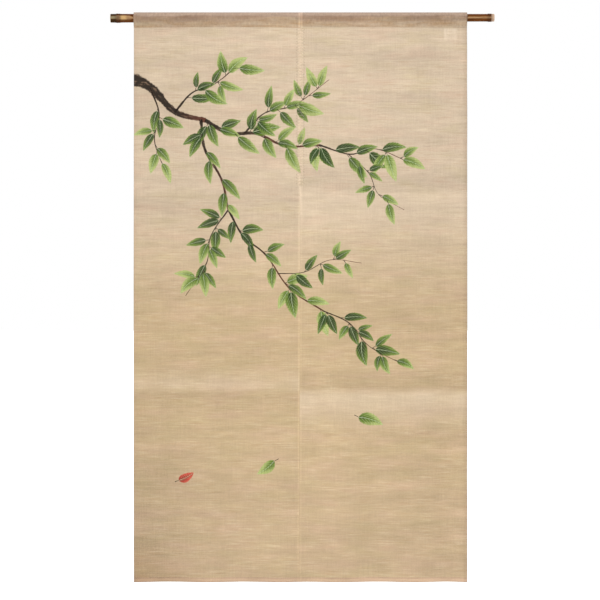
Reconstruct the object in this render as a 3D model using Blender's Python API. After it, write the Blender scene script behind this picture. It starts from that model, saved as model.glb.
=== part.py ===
"""A noren: a split doorway curtain of two plain hemp panels on a bamboo rod.

Metres, +Z up. The front of the cloth faces -Y. The origin is the rod's axis at the middle of the cloth.
Each panel is one solid: its rod pocket, its hanging sheet and its bottom hem are the same cloth.
"""

import math
from collections import namedtuple

import bmesh
import bpy

# The cloth
CLOTH_WIDTH = 0.877
CLOTH_DROP = 1.500  # top crease to bottom edge
CLOTH_THICK = 0.0012
POCKET_DROP = 0.0395  # top crease to the seam that closes the rod pocket
TURN_UNDER = 0.0030  # the pocket's back layer ends this far below its seam
HEM_HEIGHT = 0.013
HEM_BACK = 0.0016  # how far the folded hem stands behind the sheet's back
SLIT_GAP_TOP = 0.0006
SLIT_GAP_BOTTOM = 0.0016
SLIT_DRIFT = -0.0032  # the slit strays this far sideways by the bottom edge

# The rod, a tapering bamboo cane
ROD_LEFT_X = -0.500
ROD_RIGHT_X = 0.510
ROD_RADIUS_LEFT = 0.0114
ROD_RADIUS_RIGHT = 0.0100
ROD_WALL = 0.0032
ROD_RECESS = 0.008  # the cane is open this deep at each sawn end
ROD_SIDES = 24
NODE_RISE = 0.0010
NODE_XS = (-0.480, -0.238, 0.010, 0.254, 0.498)

# A node's ridges: along is the distance from its middle, rise its height as a share of NODE_RISE.
Ridge = namedtuple("Ridge", "along rise")
NODE_RIDGES = (
    Ridge(along=-0.0070, rise=0.00),
    Ridge(along=-0.0020, rise=1.00),
    Ridge(along=0.0000, rise=0.35),
    Ridge(along=0.0020, rise=0.80),
    Ridge(along=0.0080, rise=0.00),
)

# The pocket round the rod
ROD_CLEARANCE = 0.0005
CREASE_ANGLE = math.radians(30)  # from the rod's top to where the cloth leaves it for the pressed crease
CREASE_SHARE = 0.70  # the cloth runs this share of the way to the crease before it rounds over
POCKET_ARC_STEPS = 4

# The blank tag sewn behind the right panel's top corner
TAG_LEFT_X = 0.378
TAG_WIDTH = 0.034
TAG_DROP = 0.030
TAG_THICK = 0.0010
TAG_CELLS = 4

# How finely the sheet is divided
PANEL_COLUMNS = 18
PANEL_ROWS = 23

MESH_GAP = 0.0003  # between pieces that touch
SPIN_MERGE = 1e-6  # the turned profile's ends and its first and last copy meet within this
SHARP_ANGLE = math.radians(35)

# Soft vertical folds. at is where a fold's middle lies at the bottom edge, spread its half width there,
# depth how far it swells backwards (or forwards, below zero), and lean how far it leans on the way down.
Fold = namedtuple("Fold", "at spread depth lean")
FOLDS = (
    Fold(at=-0.437, spread=0.036, depth=-0.0050, lean=0.010),
    Fold(at=-0.348, spread=0.052, depth=0.0052, lean=-0.020),
    Fold(at=-0.246, spread=0.047, depth=-0.0056, lean=0.012),
    Fold(at=-0.150, spread=0.050, depth=0.0040, lean=0.024),
    Fold(at=-0.052, spread=0.042, depth=-0.0046, lean=-0.014),
    Fold(at=0.020, spread=0.036, depth=0.0034, lean=0.006),
    Fold(at=0.104, spread=0.048, depth=-0.0052, lean=0.018),
    Fold(at=0.202, spread=0.055, depth=0.0046, lean=-0.010),
    Fold(at=0.300, spread=0.046, depth=-0.0048, lean=-0.022),
    Fold(at=0.384, spread=0.044, depth=0.0050, lean=0.010),
    Fold(at=0.440, spread=0.030, depth=-0.0042, lean=0.000),
)
FOLD_GROWTH = 0.8  # folds open out as the drop to this power
SWAY = -0.0040  # the sheet's middle stands this far forward
SLIT_CURL = 0.0022  # below the stitching, the left edge rolls back and the right one forward, this far
SLIT_CURL_SPREAD = 0.022
SEAM_DROP = 0.450  # the two panels are stitched together down to here

COLOURS = {
    "hemp": ((0.62, 0.49, 0.34, 1.0), 0.9),
    "bamboo": ((0.20, 0.11, 0.05, 1.0), 0.4),
    "tag": ((0.78, 0.72, 0.62, 1.0), 0.8),
}


def rod_radius(x):
    """The cane's radius between its nodes."""
    share = (x - ROD_LEFT_X) / (ROD_RIGHT_X - ROD_LEFT_X)
    return ROD_RADIUS_LEFT + (ROD_RADIUS_RIGHT - ROD_RADIUS_LEFT) * share


ROD_TOP_Z = rod_radius(0.0)  # the cane's top is level, so its axis falls away from the thick end


def rod_axis_z(x):
    return ROD_TOP_Z - rod_radius(x)


def pocket_radius(x):
    """The radius on which the cloth bears: it clears the cane's nodes."""
    return rod_radius(x) + NODE_RISE + ROD_CLEARANCE


def crease_bend(radius, axis_z):
    """(y, z) where a pocket of this radius starts to round over, and (y, z) of its highest point."""
    side_y = radius * math.sin(CREASE_ANGLE)
    side_z = axis_z + radius * math.cos(CREASE_ANGLE)
    meeting_z = axis_z + radius / math.cos(CREASE_ANGLE)
    bend_z = side_z + (meeting_z - side_z) * CREASE_SHARE
    return (side_y * (1.0 - CREASE_SHARE), bend_z), (0.0, 0.5 * (bend_z + meeting_z))


CREASE_Z = crease_bend(pocket_radius(0.0) + CLOTH_THICK, rod_axis_z(0.0))[1][1]
SEAM_Z = CREASE_Z - POCKET_DROP
TURN_Z = SEAM_Z - TURN_UNDER
BOTTOM_Z = CREASE_Z - CLOTH_DROP
HEM_Z = BOTTOM_Z + HEM_HEIGHT


def drop_share(z):
    """0 at the end of the pocket's turn-under, 1 at the bottom edge."""
    return min(1.0, max(0.0, (TURN_Z - z) / (TURN_Z - BOTTOM_Z)))


def slit_x(z):
    return SLIT_DRIFT * drop_share(z) ** 1.5


def half_gap(z):
    return 0.5 * (SLIT_GAP_TOP + (SLIT_GAP_BOTTOM - SLIT_GAP_TOP) * drop_share(z))


def sheet_y(x, z):
    """How far the sheet stands behind its flat position."""
    share = drop_share(z)
    swell = sum(
        f.depth * math.exp(-(((x - f.at + f.lean * (1.0 - share)) / f.spread) ** 2)) for f in FOLDS
    )
    free = min(1.0, max(0.0, (CREASE_Z - SEAM_DROP - z) / (CLOTH_DROP - SEAM_DROP)))
    side = 1.0 if x < slit_x(z) else -1.0
    curl = side * SLIT_CURL * free * math.exp(-(((x - slit_x(z)) / SLIT_CURL_SPREAD) ** 2))
    return swell * share**FOLD_GROWTH + curl + SWAY * math.sin(math.pi * share)


def pocket_loop(radius, axis_z, foot_y):
    """The pocket's outline as (y, z), from its back foot at the seam over the crease to its front foot."""
    lowest = math.acos(radius / (axis_z - SEAM_Z))
    highest = math.pi - CREASE_ANGLE
    step = (highest - lowest) / POCKET_ARC_STEPS
    angles = [lowest + step * i for i in range(POCKET_ARC_STEPS + 1)]
    bend, crease = crease_bend(radius, axis_z)
    back = [(radius * math.sin(a), axis_z - radius * math.cos(a)) for a in angles] + [bend]
    front = [(-y, z) for y, z in reversed(back)]
    return [(foot_y, SEAM_Z), *back, crease, *front, (-foot_y, SEAM_Z)]


def row_heights():
    """Heights of the sheet's rows, from the pocket's turn-under down to the bottom edge."""
    step = (TURN_Z - HEM_Z) / PANEL_ROWS
    return [TURN_Z - step * i for i in range(PANEL_ROWS + 1)] + [BOTTOM_Z]


def panel_edges(side, z):
    """Left and right edge of a panel at height z."""
    if side == "left":
        return -0.5 * CLOTH_WIDTH, slit_x(z) - half_gap(z)
    return slit_x(z) + half_gap(z), 0.5 * CLOTH_WIDTH


def across(side, share, z):
    """x at this share of a panel's width."""
    left, right = panel_edges(side, z)
    return left + (right - left) * share


def section_points(side, share):
    """One cross-section of a panel: its outer outline, then the pocket's inner one without its foot."""
    x = across(side, share, SEAM_Z)
    radius, axis_z = pocket_radius(x), rod_axis_z(x)
    outer = [(x, y, z) for y, z in pocket_loop(radius + CLOTH_THICK, axis_z, CLOTH_THICK)]
    inner = [(x, y, z) for y, z in pocket_loop(radius, axis_z, 0.0)][:-1]
    front, back = [], []
    for z in row_heights():
        x_row = across(side, share, z)
        stand = sheet_y(x_row, z)
        front.append((x_row, stand - CLOTH_THICK, z))
        back.append((x_row, stand, z))
    hem = [(x_row, stand + HEM_BACK, z) for x_row, stand, z in back[-2:]]
    turn = [(back[0][0], back[0][1] + CLOTH_THICK, TURN_Z)]
    return {"outer": outer, "inner": inner, "front": front, "back": back[:-1], "hem": hem, "turn": turn}


def add_strip(mesh, near, far, closed=False):
    """Quads between two matching rows of vertices, which may be closed loops."""
    if closed:
        near = [*near, near[0]]
        far = [*far, far[0]]
    for i in range(len(near) - 1):
        mesh.faces.new((near[i], near[i + 1], far[i + 1], far[i]))


def add_cap(mesh, ring):
    """The cut side of a panel, from one cross-section's vertices."""
    outer, inner, front, back = ring["outer"], ring["inner"], ring["front"], ring["back"]
    hem, turn = ring["hem"], ring["turn"][0]
    inner_closed = [*inner, inner[0]]
    for i in range(len(outer) - 1):
        mesh.faces.new((outer[i], outer[i + 1], inner_closed[i + 1], inner_closed[i]))
    mesh.faces.new((outer[0], inner[0], back[0], turn))
    mesh.faces.new((inner[0], outer[-1], front[0], back[0]))
    for i in range(len(back) - 1):
        mesh.faces.new((back[i], front[i], front[i + 1], back[i + 1]))
    mesh.faces.new((hem[0], back[-1], front[-2], front[-1], hem[1]))


def outline_of(ring):
    """The panel's closed outer outline, in order round the cross-section."""
    return [
        *ring["turn"],
        *ring["outer"],
        *ring["front"],
        *reversed(ring["hem"]),
        *reversed(ring["back"]),
    ]


def finish_object(name, mesh, colour):
    """Turns a bmesh into a named object with its own plain material."""
    bmesh.ops.recalc_face_normals(mesh, faces=mesh.faces)
    data = bpy.data.meshes.new(name)
    mesh.to_mesh(data)
    mesh.free()
    data.shade_smooth()
    data.set_sharp_from_angle(angle=SHARP_ANGLE)
    obj = bpy.data.objects.new(name, data)
    bpy.context.scene.collection.objects.link(obj)
    rgba, roughness = COLOURS[colour]
    material = bpy.data.materials.new(f"{name}_{colour}")
    material.use_nodes = True
    shader = material.node_tree.nodes["Principled BSDF"]
    shader.inputs["Base Color"].default_value = rgba
    shader.inputs["Roughness"].default_value = roughness
    shader.inputs["Metallic"].default_value = 0.0
    data.materials.append(material)
    return obj


def make_panel(side):
    mesh = bmesh.new()
    rings = []
    for column in range(PANEL_COLUMNS + 1):
        points = section_points(side, column / PANEL_COLUMNS)
        rings.append({part: [mesh.verts.new(p) for p in row] for part, row in points.items()})
    for near, far in zip(rings, rings[1:]):
        add_strip(mesh, outline_of(near), outline_of(far), closed=True)
        add_strip(mesh, near["inner"], far["inner"], closed=True)
    add_cap(mesh, rings[0])
    add_cap(mesh, rings[-1])
    return finish_object(f"panel_{side}", mesh, "hemp")


def rod_profile():
    """(x, radius) along the cane's surface, from the floor of one sawn end's hollow to the other's."""
    left_hole = rod_radius(ROD_LEFT_X) - ROD_WALL
    right_hole = rod_radius(ROD_RIGHT_X) - ROD_WALL
    profile = [
        (ROD_LEFT_X + ROD_RECESS, 0.0),
        (ROD_LEFT_X + ROD_RECESS, left_hole),
        (ROD_LEFT_X, left_hole),
        (ROD_LEFT_X, rod_radius(ROD_LEFT_X)),
    ]
    for x in NODE_XS:
        profile += [(x + r.along, rod_radius(x) + r.rise * NODE_RISE) for r in NODE_RIDGES]
    profile += [
        (ROD_RIGHT_X, rod_radius(ROD_RIGHT_X)),
        (ROD_RIGHT_X, right_hole),
        (ROD_RIGHT_X - ROD_RECESS, right_hole),
        (ROD_RIGHT_X - ROD_RECESS, 0.0),
    ]
    return profile


def make_rod():
    """The cane, turned about its own axis and then lowered at its thick end so that its top is level."""
    mesh = bmesh.new()
    line = [mesh.verts.new((x, 0.0, radius)) for x, radius in rod_profile()]
    edges = [mesh.edges.new(pair) for pair in zip(line, line[1:])]
    bmesh.ops.spin(
        mesh,
        geom=line + edges,
        cent=(0.0, 0.0, 0.0),
        axis=(1.0, 0.0, 0.0),
        angle=2.0 * math.pi,
        steps=ROD_SIDES,
        use_merge=True,
    )
    bmesh.ops.remove_doubles(mesh, verts=mesh.verts, dist=SPIN_MERGE)
    for vertex in mesh.verts:
        vertex.co.z += rod_axis_z(vertex.co.x)
    return finish_object("rod", mesh, "bamboo")


def make_tag():
    """A folded blank tag that hangs behind the cloth, its top edge under the pocket's turn-under."""
    mesh = bmesh.new()
    top = TURN_Z - MESH_GAP
    xs = [TAG_LEFT_X + TAG_WIDTH * i / TAG_CELLS for i in range(TAG_CELLS + 1)]
    zs = [top - TAG_DROP * i / TAG_CELLS for i in range(TAG_CELLS + 1)]
    rims = []
    for lift in (MESH_GAP, MESH_GAP + TAG_THICK):
        rows = [[mesh.verts.new((x, sheet_y(x, z) + lift, z)) for x in xs] for z in zs]
        for upper, lower in zip(rows, rows[1:]):
            add_strip(mesh, upper, lower)
        right = [row[-1] for row in rows[1:-1]]
        left = [row[0] for row in reversed(rows[1:-1])]
        rims.append([*rows[0], *right, *reversed(rows[-1]), *left])
    add_strip(mesh, *rims, closed=True)
    return finish_object("back_tag", mesh, "tag")


def main():
    for obj in list(bpy.data.objects):
        bpy.data.objects.remove(obj, do_unlink=True)
    make_rod()
    make_panel("left")
    make_panel("right")
    make_tag()


main()
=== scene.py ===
"""The looks of a noren: two hemp panels with a dyed leaf spray, stitched together and hung on a bamboo cane.

Metres, +Z up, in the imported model's frame. The front of the cloth faces -Y.
On the cloth a place is given as (x, v): v runs up the cloth's own length from the fold at its bottom edge,
over the crease round the cane and down the back, and below zero it runs into the hem behind.
"""

import math
import random
from collections import namedtuple

import bpy
import numpy as np
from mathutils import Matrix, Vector, noise
from mathutils.geometry import delaunay_2d_cdt


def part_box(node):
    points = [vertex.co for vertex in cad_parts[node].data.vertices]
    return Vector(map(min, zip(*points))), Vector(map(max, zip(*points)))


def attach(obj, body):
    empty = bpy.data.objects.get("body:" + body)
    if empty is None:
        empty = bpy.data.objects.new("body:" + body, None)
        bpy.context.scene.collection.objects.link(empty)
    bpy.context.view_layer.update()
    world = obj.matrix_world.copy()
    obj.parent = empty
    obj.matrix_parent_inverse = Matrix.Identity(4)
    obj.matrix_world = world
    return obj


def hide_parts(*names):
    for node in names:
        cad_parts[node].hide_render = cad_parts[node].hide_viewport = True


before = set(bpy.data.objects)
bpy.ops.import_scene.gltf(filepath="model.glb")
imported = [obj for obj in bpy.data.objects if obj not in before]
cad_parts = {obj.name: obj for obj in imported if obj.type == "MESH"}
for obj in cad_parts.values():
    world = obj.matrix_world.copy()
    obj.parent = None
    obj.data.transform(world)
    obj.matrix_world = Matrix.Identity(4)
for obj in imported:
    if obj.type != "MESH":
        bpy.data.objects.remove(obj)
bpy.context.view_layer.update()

# Sizes that the cloth and the cane share with the solids
CLOTH_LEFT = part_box("panel_left")[0].x
CLOTH_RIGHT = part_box("panel_right")[1].x
ROD_LEFT_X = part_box("rod")[0].x
ROD_RIGHT_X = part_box("rod")[1].x
ROD_RADIUS_LEFT = 0.0114
ROD_RADIUS_RIGHT = 0.0100
ROD_RECESS = 0.008
NODE_RISE = 0.0010
NODE_XS = (-0.480, -0.238, 0.010, 0.254, 0.498)
NODE_RIDGES = ((-0.0070, 0.0), (-0.0020, 1.0), (0.0, 0.35), (0.0020, 0.80), (0.0080, 0.0))
ROD_CLEARANCE = 0.0005
CREASE_ANGLE = math.radians(30)
CREASE_SHARE = 0.70
CLOTH_DROP = 1.500
SOLID_THICK = 0.0012
POCKET_DROP = 0.0395
TURN_UNDER = 0.0030
HEM_HEIGHT = 0.013
SLIT_DRIFT = -0.0032
SEAM_DROP = 0.450
SWAY = -0.0040
SLIT_CURL = 0.0008
SLIT_CURL_SPREAD = 0.022
FOLD_GROWTH = 0.8
STORED_DROPS = (0.474, 0.996)  # the creases left by folding the curtain in three
STORED_DEPTH = 0.0028
STORED_SPREAD = 0.028
STORED_FLAT = 0.030  # they die out this near to the slit
TAG_LEFT_X = 0.378
TAG_WIDTH = 0.034
TAG_DROP = 0.030

# Soft folds: x at the bottom, half width, how far back, and how much further left they stand at the top
Fold = namedtuple("Fold", "at spread depth lean")
FOLDS = (
    Fold(-0.437, 0.036, -0.0050, 0.010),
    Fold(-0.348, 0.052, 0.0052, -0.020),
    Fold(-0.246, 0.047, -0.0056, 0.012),
    Fold(-0.150, 0.050, 0.0040, 0.024),
    Fold(-0.052, 0.042, -0.0046, -0.014),
    Fold(0.020, 0.036, 0.0034, 0.006),
    Fold(0.104, 0.048, -0.0052, 0.018),
    Fold(0.202, 0.055, 0.0046, -0.010),
    Fold(0.300, 0.046, -0.0048, -0.022),
    Fold(0.384, 0.044, 0.0050, 0.010),
    Fold(0.440, 0.030, -0.0042, 0.000),
)

# The cloth as it is woven and sewn
CLOTH_THICK = 0.0007
# the cane's painted shadow shows through the pocket's front over this stretch
CANE_Z_LOW = -0.0014  # the stretch of the pocket's front that presses on the cane
CANE_Z_HIGH = 0.0032
JOIN_TOP = 0.046  # where the ladder stitch that joins the panels starts, as a depth below the crease
JOIN_PITCH = 0.0078
JOIN_HALF_WIDTH = 0.0086
SLIT_DRIFT_POWER = 1.5
SLIT_LAP = 0.0004
SLIT_LAPS = (0.30, 0.50)  # how free the slit is where its edges start to lap, and where they lap fully
LAYER = 0.00075  # from one layer's middle to the next where the cloth is folded on itself
COLUMN_STEP = 0.004
EDGE_STEP = 0.0005  # the outermost columns are this narrow, so that the cut edge's shading stays there
ROW_STEP = 0.008
FINE_ROW_STEP = 0.003
FINE_BAND = 0.024  # rows are fine this near to the pocket's seam and to the hem

# The camera sees 600 pixels across, at the scale of the photograph
PIXELS = 600
METRES_PER_PIXEL = 0.002633
VIEW_CENTRE_X = -0.0013
VIEW_CENTRE_Z = -0.7425
LENS_MM = 100
SENSOR_MM = 36
FLOOR_Z = -1.93


def rod_radius(x):
    share = (x - ROD_LEFT_X) / (ROD_RIGHT_X - ROD_LEFT_X)
    return ROD_RADIUS_LEFT + (ROD_RADIUS_RIGHT - ROD_RADIUS_LEFT) * share


ROD_TOP_Z = rod_radius(0.0)


def rod_axis_z(x):
    return ROD_TOP_Z - rod_radius(x)


def crease_bend(radius, axis_z):
    """(y, z) where a pocket of this radius starts to round over, and (y, z) of its highest point."""
    side_y = radius * math.sin(CREASE_ANGLE)
    side_z = axis_z + radius * math.cos(CREASE_ANGLE)
    meeting_z = axis_z + radius / math.cos(CREASE_ANGLE)
    bend_z = side_z + (meeting_z - side_z) * CREASE_SHARE
    return (side_y * (1.0 - CREASE_SHARE), bend_z), (0.0, 0.5 * (bend_z + meeting_z))


def pocket_radius(x):
    return rod_radius(x) + NODE_RISE + ROD_CLEARANCE


CREASE_Z = crease_bend(pocket_radius(0.0) + SOLID_THICK, rod_axis_z(0.0))[1][1]
SEAM_Z = CREASE_Z - POCKET_DROP
TURN_Z = SEAM_Z - TURN_UNDER
BOTTOM_Z = CREASE_Z - CLOTH_DROP
HEM_Z = BOTTOM_Z + HEM_HEIGHT


def drop_share(z):
    """0 at the end of the pocket's turn-under, 1 at the bottom edge."""
    return np.clip((TURN_Z - z) / (TURN_Z - BOTTOM_Z), 0.0, 1.0)


def slit_x(z):
    return SLIT_DRIFT * drop_share(z) ** SLIT_DRIFT_POWER


def slit_free(z):
    """0 where the panels are stitched together, rising to 1 at the bottom of the slit."""
    return np.clip((CREASE_Z - SEAM_DROP - z) / (CLOTH_DROP - SEAM_DROP), 0.0, 1.0)


def sheet_y(x, z, side=None):
    """How far the sheet stands behind its flat position. side is 1 on the left panel and -1 on the right."""
    share = drop_share(z)
    swell = sum(f.depth * np.exp(-(((x - f.at + f.lean * (1.0 - share)) / f.spread) ** 2)) for f in FOLDS)
    side = np.where(x < slit_x(z), 1.0, -1.0) if side is None else side
    from_slit = x - slit_x(z)
    curl = side * SLIT_CURL * slit_free(z) * np.exp(-((from_slit / SLIT_CURL_SPREAD) ** 2))
    stored = sum(np.exp(-np.abs(CREASE_Z - z - drop) / STORED_SPREAD) for drop in STORED_DROPS)
    stored = -side * STORED_DEPTH * stored * (1.0 - np.exp(-((from_slit / STORED_FLAT) ** 2)))
    return swell * share**FOLD_GROWTH + curl + stored + SWAY * np.sin(math.pi * share)


# The cloth's path: the hem behind, up the front, over the cane, down to the seam and under


def straight(start, end, count):
    """count points from start up to but not at end."""
    return [tuple(np.array(start) + (np.array(end) - np.array(start)) * i / count) for i in range(count)]


def turn(centre, radius, start, end, count):
    """count points round an arc from angle start up to but not at end, 0 being along +Y and 90 up."""
    angles = [math.radians(start + (end - start) * i / count) for i in range(count)]
    return [(centre[0] + radius * math.cos(a), centre[1] + radius * math.sin(a)) for a in angles]


def lengths_along(points):
    """How far along a line of points each one is."""
    return np.concatenate([[0.0], np.cumsum(np.linalg.norm(np.diff(points, axis=0), axis=1))])


def unit(vectors):
    return vectors / np.linalg.norm(vectors, axis=1, keepdims=True)


def quads(rows, columns, closed):
    """Faces between rows of points that follow each other. Closed rows run round to their first point."""
    i, j = np.meshgrid(np.arange(rows - 1), np.arange(columns if closed else columns - 1), indexing="ij")
    k = (j + 1) % columns
    corners = [i * columns + j, (i + 1) * columns + j, (i + 1) * columns + k, i * columns + k]
    return np.stack(corners, axis=-1).reshape(-1, 4).tolist()


def pocket_front(x):
    """The front half of the pocket as (y, z), from its foot at the seam up to but not at the crease."""
    radius = pocket_radius(x) + SOLID_THICK - 0.5 * CLOTH_THICK
    axis = (0.0, rod_axis_z(x))
    lowest = math.degrees(math.acos(radius / (axis[1] - SEAM_Z)))
    start, end = -90.0 - lowest, -270.0 + math.degrees(CREASE_ANGLE)
    touches = turn(axis, radius, start, end, 1)[0]
    leaves = turn(axis, radius, end, start, 1)[0]
    (bend_y, bend_z), (_, top_z) = crease_bend(radius, axis[1])
    points = straight((-LAYER, SEAM_Z), touches, 4)
    points += turn(axis, radius, start, end, 12)
    points += straight(leaves, (-bend_y, bend_z), 3)
    for t in (0.0, 0.125, 0.25, 0.375):
        points.append((-bend_y * (1.0 - 2.0 * t), bend_z + 4.0 * (top_z - bend_z) * t * (1.0 - t)))
    return points, (0.0, top_z)


def cloth_path(x):
    """(y, z) of every row of the cloth at x, and the rows that other sizes are counted from."""
    half = 0.5 * LAYER
    lowest_z = BOTTOM_Z + LAYER + 0.5 * CLOTH_THICK
    fine = round(FINE_BAND / FINE_ROW_STEP)
    rows = {}
    path = straight((0.0, lowest_z + half), (0.0, HEM_Z - half), 4)
    path += turn((half, HEM_Z - half), half, 180.0, 0.0, 4)
    rows["hem"] = len(path)
    path += straight((LAYER, HEM_Z - half), (LAYER, lowest_z), 4)
    path += turn((0.0, lowest_z), LAYER, 0.0, -180.0, 6)
    rows["lowest"] = len(path) - 3
    rows["front"] = len(path)
    path += straight((-LAYER, lowest_z), (-LAYER, lowest_z + FINE_BAND), fine)
    middle = math.ceil((SEAM_Z - lowest_z - 2.0 * FINE_BAND) / ROW_STEP)
    path += straight((-LAYER, lowest_z + FINE_BAND), (-LAYER, SEAM_Z - FINE_BAND), middle)
    path += straight((-LAYER, SEAM_Z - FINE_BAND), (-LAYER, SEAM_Z), fine)
    rows["seam"] = len(path)
    front, crease = pocket_front(x)
    rows["crease"] = len(path) + len(front)
    path += front + [crease] + [(-y, z) for y, z in reversed(front)]
    rows["foot"] = len(path) - 1
    path += straight((LAYER, SEAM_Z), (LAYER, TURN_Z + half), 3)[1:]
    path += turn((half, TURN_Z + half), half, 0.0, -180.0, 4)
    path += straight((0.0, TURN_Z + half), (0.0, SEAM_Z - half), 2) + [(0.0, SEAM_Z - half)]
    return np.array(path), rows


PATH_LEFT, ROWS = cloth_path(CLOTH_LEFT)
PATH_RIGHT = cloth_path(CLOTH_RIGHT)[0]
ROW_V = lengths_along(cloth_path(0.0)[0])
ROW_V -= ROW_V[ROWS["lowest"]]
V_SEAM = float(ROW_V[ROWS["seam"]])
V_CREASE = float(ROW_V[ROWS["crease"]])
V_FOOT = float(ROW_V[ROWS["foot"]])
V_HEM = float(ROW_V[ROWS["front"]]) + HEM_Z - PATH_LEFT[ROWS["front"], 1]
CANE_V_LOW, CANE_V_HIGH = np.interp(
    (CANE_Z_LOW, CANE_Z_HIGH),
    PATH_LEFT[ROWS["seam"] : ROWS["crease"] + 1, 1],
    ROW_V[ROWS["seam"] : ROWS["crease"] + 1],
)


def height(v):
    """z of the cloth at v."""
    return np.interp(v, ROW_V, PATH_LEFT[:, 1])


def front_v(drop):
    """v of a place on the front at this depth below the crease."""
    return V_SEAM - (drop - POCKET_DROP)


def slit_lap(z):
    """How far each panel's edge runs past the slit's line, where the edges have parted."""
    starts, ends = SLIT_LAPS
    return SLIT_LAP * np.clip((slit_free(z) - starts) / (ends - starts), 0.0, 1.0)


def edges(side, v):
    """x of a panel's left and right edges at v."""
    z = height(v)
    if side == "left":
        return CLOTH_LEFT + 0.0 * z, slit_x(z) + slit_lap(z)
    return slit_x(z) - slit_lap(z), CLOTH_RIGHT + 0.0 * z


# Unevenness of the cloth: its height, its length across and down, and its own place in the noise
Wave = namedtuple("Wave", "height across down place")
RIPPLE = Wave(height=0.0009, across=0.055, down=0.30, place=7.1)
SLANTING_RIPPLE = Wave(height=0.0005, across=0.030, down=0.11, place=3.7)
SEAM_PUCKER = Wave(height=0.0007, across=0.011, down=0.09, place=1.3)
HEM_PUCKER = Wave(height=0.0008, across=0.014, down=0.09, place=5.9)
PUFF = Wave(height=0.0005, across=0.016, down=0.03, place=2.2)
OUTER_EDGE = Wave(height=0.0006, across=1.0, down=0.12, place=0.4)
RIPPLE_SLANT = 0.06
RIPPLE_FADE = 0.06  # ripples grow to their full height over this far below the seam
PUCKER_FADE = 0.004
SEAM_PUCKER_REACH = 0.020
HEM_PUCKER_REACH = 0.022
PUFF_FADE = 0.008  # the pocket puffs out fully this far above its seam
PUFF_FLAT = 0.004  # and this far in front of its crease, or behind it
OUTER_EDGE_REACH = 0.01
OUTER_EDGE_X = 9.3  # one place across the noise, so both outer edges sway as one


def uneven(wave, x, z):
    return wave.height * noise.noise(Vector((x / wave.across, wave.place, z / wave.down)))


def wrinkle(x, z):
    """Small unevenness of the hanging sheet: soft ripples, and puckers along what is sewn."""
    below_seam = max(0.0, SEAM_Z - z)
    above_hem = max(0.0, z - BOTTOM_Z)
    ripples = uneven(RIPPLE, x, z) + uneven(SLANTING_RIPPLE, x + RIPPLE_SLANT * z, z)
    puckers = math.exp(-below_seam / SEAM_PUCKER_REACH) * uneven(SEAM_PUCKER, x, z)
    puckers += math.exp(-above_hem / HEM_PUCKER_REACH) * uneven(HEM_PUCKER, x, z)
    return ripples * min(1.0, below_seam / RIPPLE_FADE) + puckers * min(1.0, below_seam / PUCKER_FADE)


def place(x, v, side=None):
    """Where the middle of the cloth's thickness is, at arrays x and v. side is as for sheet_y."""
    share = (x - CLOTH_LEFT) / (CLOTH_RIGHT - CLOTH_LEFT)
    y, z = (
        (1.0 - share) * np.interp(v, ROW_V, PATH_LEFT[:, i]) + share * np.interp(v, ROW_V, PATH_RIGHT[:, i])
        for i in (0, 1)
    )
    wrinkles = np.array([wrinkle(a, b) for a, b in zip(x, z)])
    puff = 0.5 * np.array([PUFF.height + uneven(PUFF, a, b) for a, b in zip(x, z)]) * np.sign(y)
    puff *= np.clip((z - SEAM_Z) / PUFF_FADE, 0.0, 1.0) * np.clip(np.abs(y) / PUFF_FLAT, 0.0, 1.0)
    outer = np.exp(-np.minimum(x - CLOTH_LEFT, CLOTH_RIGHT - x) / OUTER_EDGE_REACH)
    sway = np.array([uneven(OUTER_EDGE, OUTER_EDGE_X, b) for b in z])
    return np.column_stack([x + outer * sway, y + sheet_y(x, z, side) * (z < TURN_Z) + wrinkles + puff, z])


def on_cloth(x, v, lift):
    """Places on the cloth's good side, raised above it by lift."""
    x, v, lift = np.broadcast_arrays(*(np.asarray(a, dtype=float) for a in (x, v, lift)))
    step = 0.0003
    across = place(x + step, v) - place(x - step, v)
    along = place(x, v + step) - place(x, v - step)
    return place(x, v) + unit(np.cross(across, along)) * (0.5 * CLOTH_THICK + lift)[:, None]


# The dyed spray: what is drawn where

Mark = namedtuple("Mark", "outline coords kind")
LEAF = 1.0  # a leaf's kind is this and its bend
TWIG = 3.0
LEAF_MARGIN = 1.15  # a mark's outline stands a little outside its drawn edge
LEAF_ROOM = 0.012
LEAF_END_ROOM = 0.02
TWIG_MARGIN = 1.35
TWIG_ROOM = 0.0003
TWIG_END_ROOM = 0.001
LEAF_FULLNESS = 1.504
LEAF_BASE_POWER = 0.62
LEAF_TIP_POWER = 1.05
LEAF_SHARES = (0.002, 0.998)  # kept off a leaf's very ends, where it has no width
PALER_EDGE = 0.55
PALER_TIP = 0.75
PALER_END = 0.8


def leaf_half_width(t):
    """Half the width of an untoothed leaf at share t of its length, where the whole width is 1."""
    return LEAF_FULLNESS * t**LEAF_BASE_POWER * (1.0 - t) ** LEAF_TIP_POWER


def leaf_midline(t, bend):
    """How far to its side a leaf's middle has bent at share t of its length."""
    return bend * 4.0 * t * (1.0 - t)


def leaf_depth(share, t, tone):
    """How pale a leaf's green is: paler towards its edge, its tip and the ends of the twigs."""
    return share * PALER_EDGE + t * PALER_TIP + tone * PALER_END


def crossing(heading):
    """The directions along a heading in radians, 0 being to the right and up positive, and to its left."""
    along = np.array([math.cos(heading), math.sin(heading)])
    return along, np.array([-along[1], along[0]])


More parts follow.
